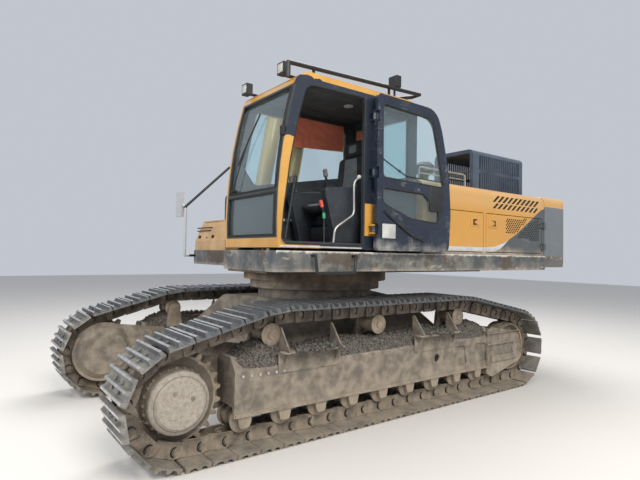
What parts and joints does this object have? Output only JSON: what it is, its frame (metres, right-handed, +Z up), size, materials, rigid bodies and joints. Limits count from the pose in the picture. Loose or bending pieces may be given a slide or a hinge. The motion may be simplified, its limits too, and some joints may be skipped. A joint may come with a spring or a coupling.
{
  "type": "crawler excavator without its boom",
  "caption": "Crawler excavator on steel tracks with a slewing house, an open cab door and two boom cylinders; its boom, arm and bucket are taken off.",
  "frame": {"origin": "on the ground under the middle of the machine's box, with the cab door open as it stands", "axes": "+X towards the front of the cab, +Y to the machine's left, +Z up"},
  "size_m": [6.407, 3.2984, 3.7022],
  "materials": {
    "paint_yellow": "weathered gloss",
    "paint_navy": "weathered gloss",
    "paint_grey": "weathered satin",
    "paint_dusty": "dusty",
    "deck_paint": "dirty",
    "frame_dark": "dusty",
    "track_steel": "worn and dusty",
    "cast_steel": "dusty",
    "charcoal": "satin",
    "black_steel": "satin",
    "glass": "clear, slightly blue",
    "rubber": "matt",
    "black_plastic": "moulded",
    "console_plastic": "moulded",
    "seat_cloth": "woven",
    "curtain_cloth": "woven",
    "chrome_rod": "polished",
    "lamp_body": "moulded"
  },
  "bodies": {
    "undercarriage": {"car_body": "paint_dusty", "track_frame_left": "paint_dusty", "track_frame_right": "paint_dusty", "track_left": "track_steel", "track_right": "track_steel", "sprockets": "cast_steel", "idlers": "cast_steel", "track_rollers": "cast_steel", "carrier_rollers": "cast_steel", "side_steps": "paint_dusty", "swing_ring": "cast_steel"},
    "upper": {"revolving_frame": "frame_dark", "deck_left": "deck_paint", "deck_right": "deck_paint", "counterweight": "paint_grey", "engine_block": "charcoal", "house_left": "paint_yellow", "house_right": "paint_navy", "centre_cover": "paint_navy", "louvre_box": "charcoal", "pre_cleaner": "black_plastic", "fuel_tank": "paint_navy", "hydraulic_tank": "paint_navy", "tool_box": "paint_yellow", "right_rails": "black_steel", "cab_shell": "paint_yellow", "cab_glass": "glass", "cab_mounts": "rubber", "deck_step": "black_steel", "seat": "seat_cloth", "consoles": "console_plastic", "levers": "black_plastic", "curtains": "curtain_cloth", "roof_rail": "black_steel", "work_lamps": "lamp_body"},
    "cab_door": {"cab_door": "paint_navy", "cab_door_glass": "glass"},
    "side_door_front": {"side_door_front": "paint_yellow"},
    "side_door_rear": {"side_door_rear": "paint_yellow"},
    "pump_door": {"pump_door": "paint_navy"},
    "engine_hood": {"engine_hood": "paint_navy"},
    "tool_box_lid": {"tool_box_lid": "paint_yellow"},
    "cylinder_left": {"cylinder_left": "paint_yellow"},
    "cylinder_right": {"cylinder_right": "paint_yellow"},
    "rod_left": {"rod_left": "chrome_rod"},
    "rod_right": {"rod_right": "chrome_rod"}
  },
  "joints": [
    {"name": "swing", "type": "hinge", "parent": "undercarriage", "child": "upper", "pos_m": [0.48654, 0.05077, 1.345], "axis": [0, 0, 1], "continuous": true},
    {"name": "cab_door_hinge", "type": "hinge", "parent": "upper", "child": "cab_door", "pos_m": [0.89154, 1.55077, 2.45], "axis": [0, 0, 1], "range_deg": [-177, 0]},
    {"name": "side_door_front_hinge", "type": "hinge", "parent": "upper", "child": "side_door_front", "pos_m": [-0.17546, 1.54477, 1.95], "axis": [0, 0, -1], "range_deg": [0, 85]},
    {"name": "side_door_rear_hinge", "type": "hinge", "parent": "upper", "child": "side_door_rear", "pos_m": [-2.24146, 1.54477, 1.95], "axis": [0, 0, 1], "range_deg": [0, 85]},
    {"name": "pump_door_hinge", "type": "hinge", "parent": "upper", "child": "pump_door", "pos_m": [-2.24146, -1.44323, 1.95], "axis": [0, 0, -1], "range_deg": [0, 85]},
    {"name": "engine_hood_hinge", "type": "hinge", "parent": "upper", "child": "engine_hood", "pos_m": [-0.55346, 0.05077, 2.51], "axis": [0, 1, 0], "range_deg": [0, 60]},
    {"name": "tool_box_lid_hinge", "type": "hinge", "parent": "upper", "child": "tool_box_lid", "pos_m": [1.07654, -0.93923, 2.076], "axis": [0, -1, 0], "range_deg": [0, 95]},
    {"name": "cylinder_left_foot", "type": "hinge", "parent": "upper", "child": "cylinder_left", "pos_m": [1.23654, 0.35077, 1.67], "axis": [0, 1, 0], "range_deg": [0, 65]},
    {"name": "rod_left_slide", "type": "slide", "parent": "cylinder_left", "child": "rod_left", "axis": [-0.1822, 0, 0.9833], "range_m": [0, 1.3]},
    {"name": "cylinder_right_foot", "type": "hinge", "parent": "upper", "child": "cylinder_right", "pos_m": [1.23654, -0.24923, 1.67], "axis": [0, 1, 0], "range_deg": [0, 65]},
    {"name": "rod_right_slide", "type": "slide", "parent": "cylinder_right", "child": "rod_right", "axis": [-0.1822, 0, 0.9833], "range_m": [0, 1.3]}
  ]
}
